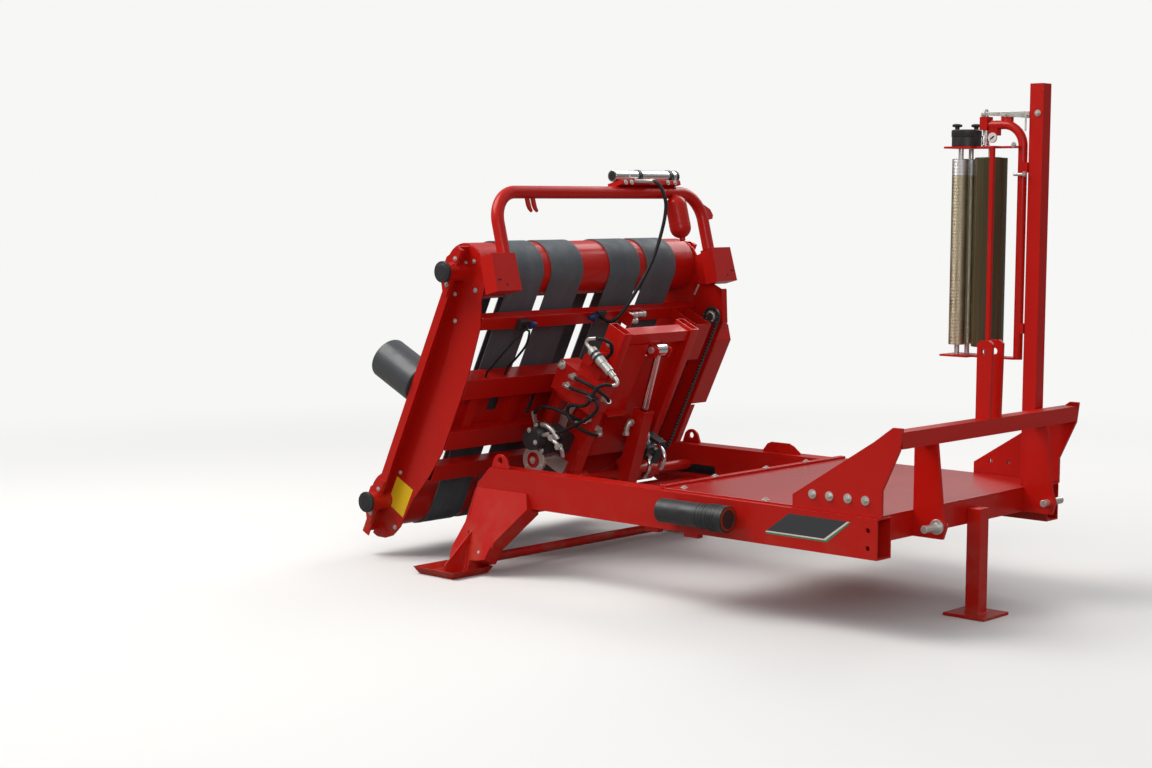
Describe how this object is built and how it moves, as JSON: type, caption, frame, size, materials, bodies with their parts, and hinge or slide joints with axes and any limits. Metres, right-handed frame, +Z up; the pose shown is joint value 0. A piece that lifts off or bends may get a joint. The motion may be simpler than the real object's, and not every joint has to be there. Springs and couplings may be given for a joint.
{
  "type": "bale wrapper",
  "caption": "Three-point mounted round bale wrapper: a tipping, turning roller table with belts and a guard hoop on a low frame, and a film dispenser on a mast.",
  "frame": {"origin": "centre of the parking leg foot on the ground, on the centreline of the frame", "axes": "+X forward towards the towing vehicle, +Y to the left, +Z up"},
  "size_m": [2.7776, 1.82, 2.02],
  "materials": {
    "red_paint": "gloss red paint",
    "black_rubber": "matt dark grey rubber",
    "black_plastic": "satin near-black plastic",
    "film_wrap": "wound stretch film, dark",
    "zinc_steel": "zinc plated",
    "chrome": "hard chrome",
    "aluminium": "ribbed aluminium"
  },
  "bodies": {
    "frame": {"side_beams": "red_paint", "rear_legs": "red_paint", "rear_feet": "red_paint", "foot_brace": "red_paint", "cross_members": "red_paint", "lifting_eyes": "red_paint", "deck_plate": "red_paint", "head_plates": "red_paint", "head_frame": "red_paint", "link_pins": "zinc_steel", "parking_leg": "red_paint", "tip_shaft": "zinc_steel", "document_tube": "black_plastic", "cylinder_pins": "zinc_steel", "mast": "red_paint", "film_frame": "red_paint", "neck_lever": "zinc_steel", "film_spindle": "zinc_steel", "gear_head": "black_plastic"},
    "tilt_frame": {"tilt_arms": "red_paint", "tilt_head": "red_paint", "tilt_plates": "red_paint", "slew_base": "red_paint", "gear_box": "red_paint", "oil_motors": "black_plastic", "motor_disc": "zinc_steel", "rod_pin": "zinc_steel", "tilt_hoses": "black_plastic"},
    "turntable": {"slew_ring": "zinc_steel", "hub_plate": "red_paint", "hub_beams": "red_paint", "side_channels": "red_paint", "table_rails": "red_paint", "centre_panel": "red_paint", "table_rollers": "red_paint", "belts": "black_rubber", "chain_case": "red_paint", "chain_cover": "red_paint", "chain_drive": "black_plastic", "shaft_caps": "black_rubber", "support_stubs": "zinc_steel", "hoop_sockets": "red_paint", "hoop": "red_paint", "cutter_bracket": "red_paint", "cutter_cylinder": "chrome", "accumulator": "red_paint", "cable_sockets": "black_plastic", "cutter_hose": "black_plastic", "sensor_cable_1": "black_plastic", "sensor_cable_2": "black_plastic"},
    "film_roll": {"film_roll": "film_wrap"},
    "stretch_roller_1": {"stretch_roller_1": "aluminium"},
    "stretch_roller_2": {"stretch_roller_2": "aluminium"},
    "tip_cylinder": {"tip_cylinder": "red_paint", "cylinder_guard": "red_paint"},
    "tip_rod": {"tip_rod": "chrome"},
    "support_roller_right": {"support_roller_right": "black_plastic"},
    "support_roller_left": {"support_roller_left": "black_plastic"}
  },
  "joints": [
    {"name": "tip", "type": "hinge", "parent": "frame", "child": "tilt_frame", "pos_m": [-1.87, 0, 0.35], "axis": [0, 1, 0], "range_deg": [0, 64.6]},
    {"name": "table_spin", "type": "hinge", "parent": "tilt_frame", "child": "turntable", "pos_m": [-1.79279, 0, 0.5126], "axis": [-0.9033, 0, 0.4289], "continuous": true},
    {"name": "support_spin_right", "type": "hinge", "parent": "turntable", "child": "support_roller_right", "pos_m": [-2.30318, -0.685, 0.75495], "axis": [-0.9033, 0, 0.4289], "continuous": true},
    {"name": "support_spin_left", "type": "hinge", "parent": "turntable", "child": "support_roller_left", "pos_m": [-2.30318, 0.685, 0.75495], "axis": [-0.9033, 0, 0.4289], "continuous": true},
    {"name": "cylinder_pivot", "type": "hinge", "parent": "frame", "child": "tip_cylinder", "pos_m": [-1.781, 0, 0.265], "axis": [0, 1, 0], "range_deg": [0, 66.4]},
    {"name": "rod_slide", "type": "slide", "parent": "tip_cylinder", "child": "tip_rod", "axis": [0.2901, 0, 0.957], "range_m": [-0.1318, 0]},
    {"name": "film_roll_spin", "type": "hinge", "parent": "frame", "child": "film_roll", "pos_m": [-0.245, 0.445, 0.985], "axis": [0, 0, 1], "continuous": true},
    {"name": "stretch_1_spin", "type": "hinge", "parent": "frame", "child": "stretch_roller_1", "pos_m": [-0.36, 0.407, 0.985], "axis": [0, 0, 1], "continuous": true},
    {"name": "stretch_2_spin", "type": "hinge", "parent": "frame", "child": "stretch_roller_2", "pos_m": [-0.36, 0.483, 0.985], "axis": [0, 0, 1], "continuous": true}
  ],
  "couplings": [
    {"joint": "cylinder_pivot", "follows": "tip", "ratio": 1.0201},
    {"joint": "rod_slide", "follows": "tip", "m_per_rad": -0.11599}
  ]
}
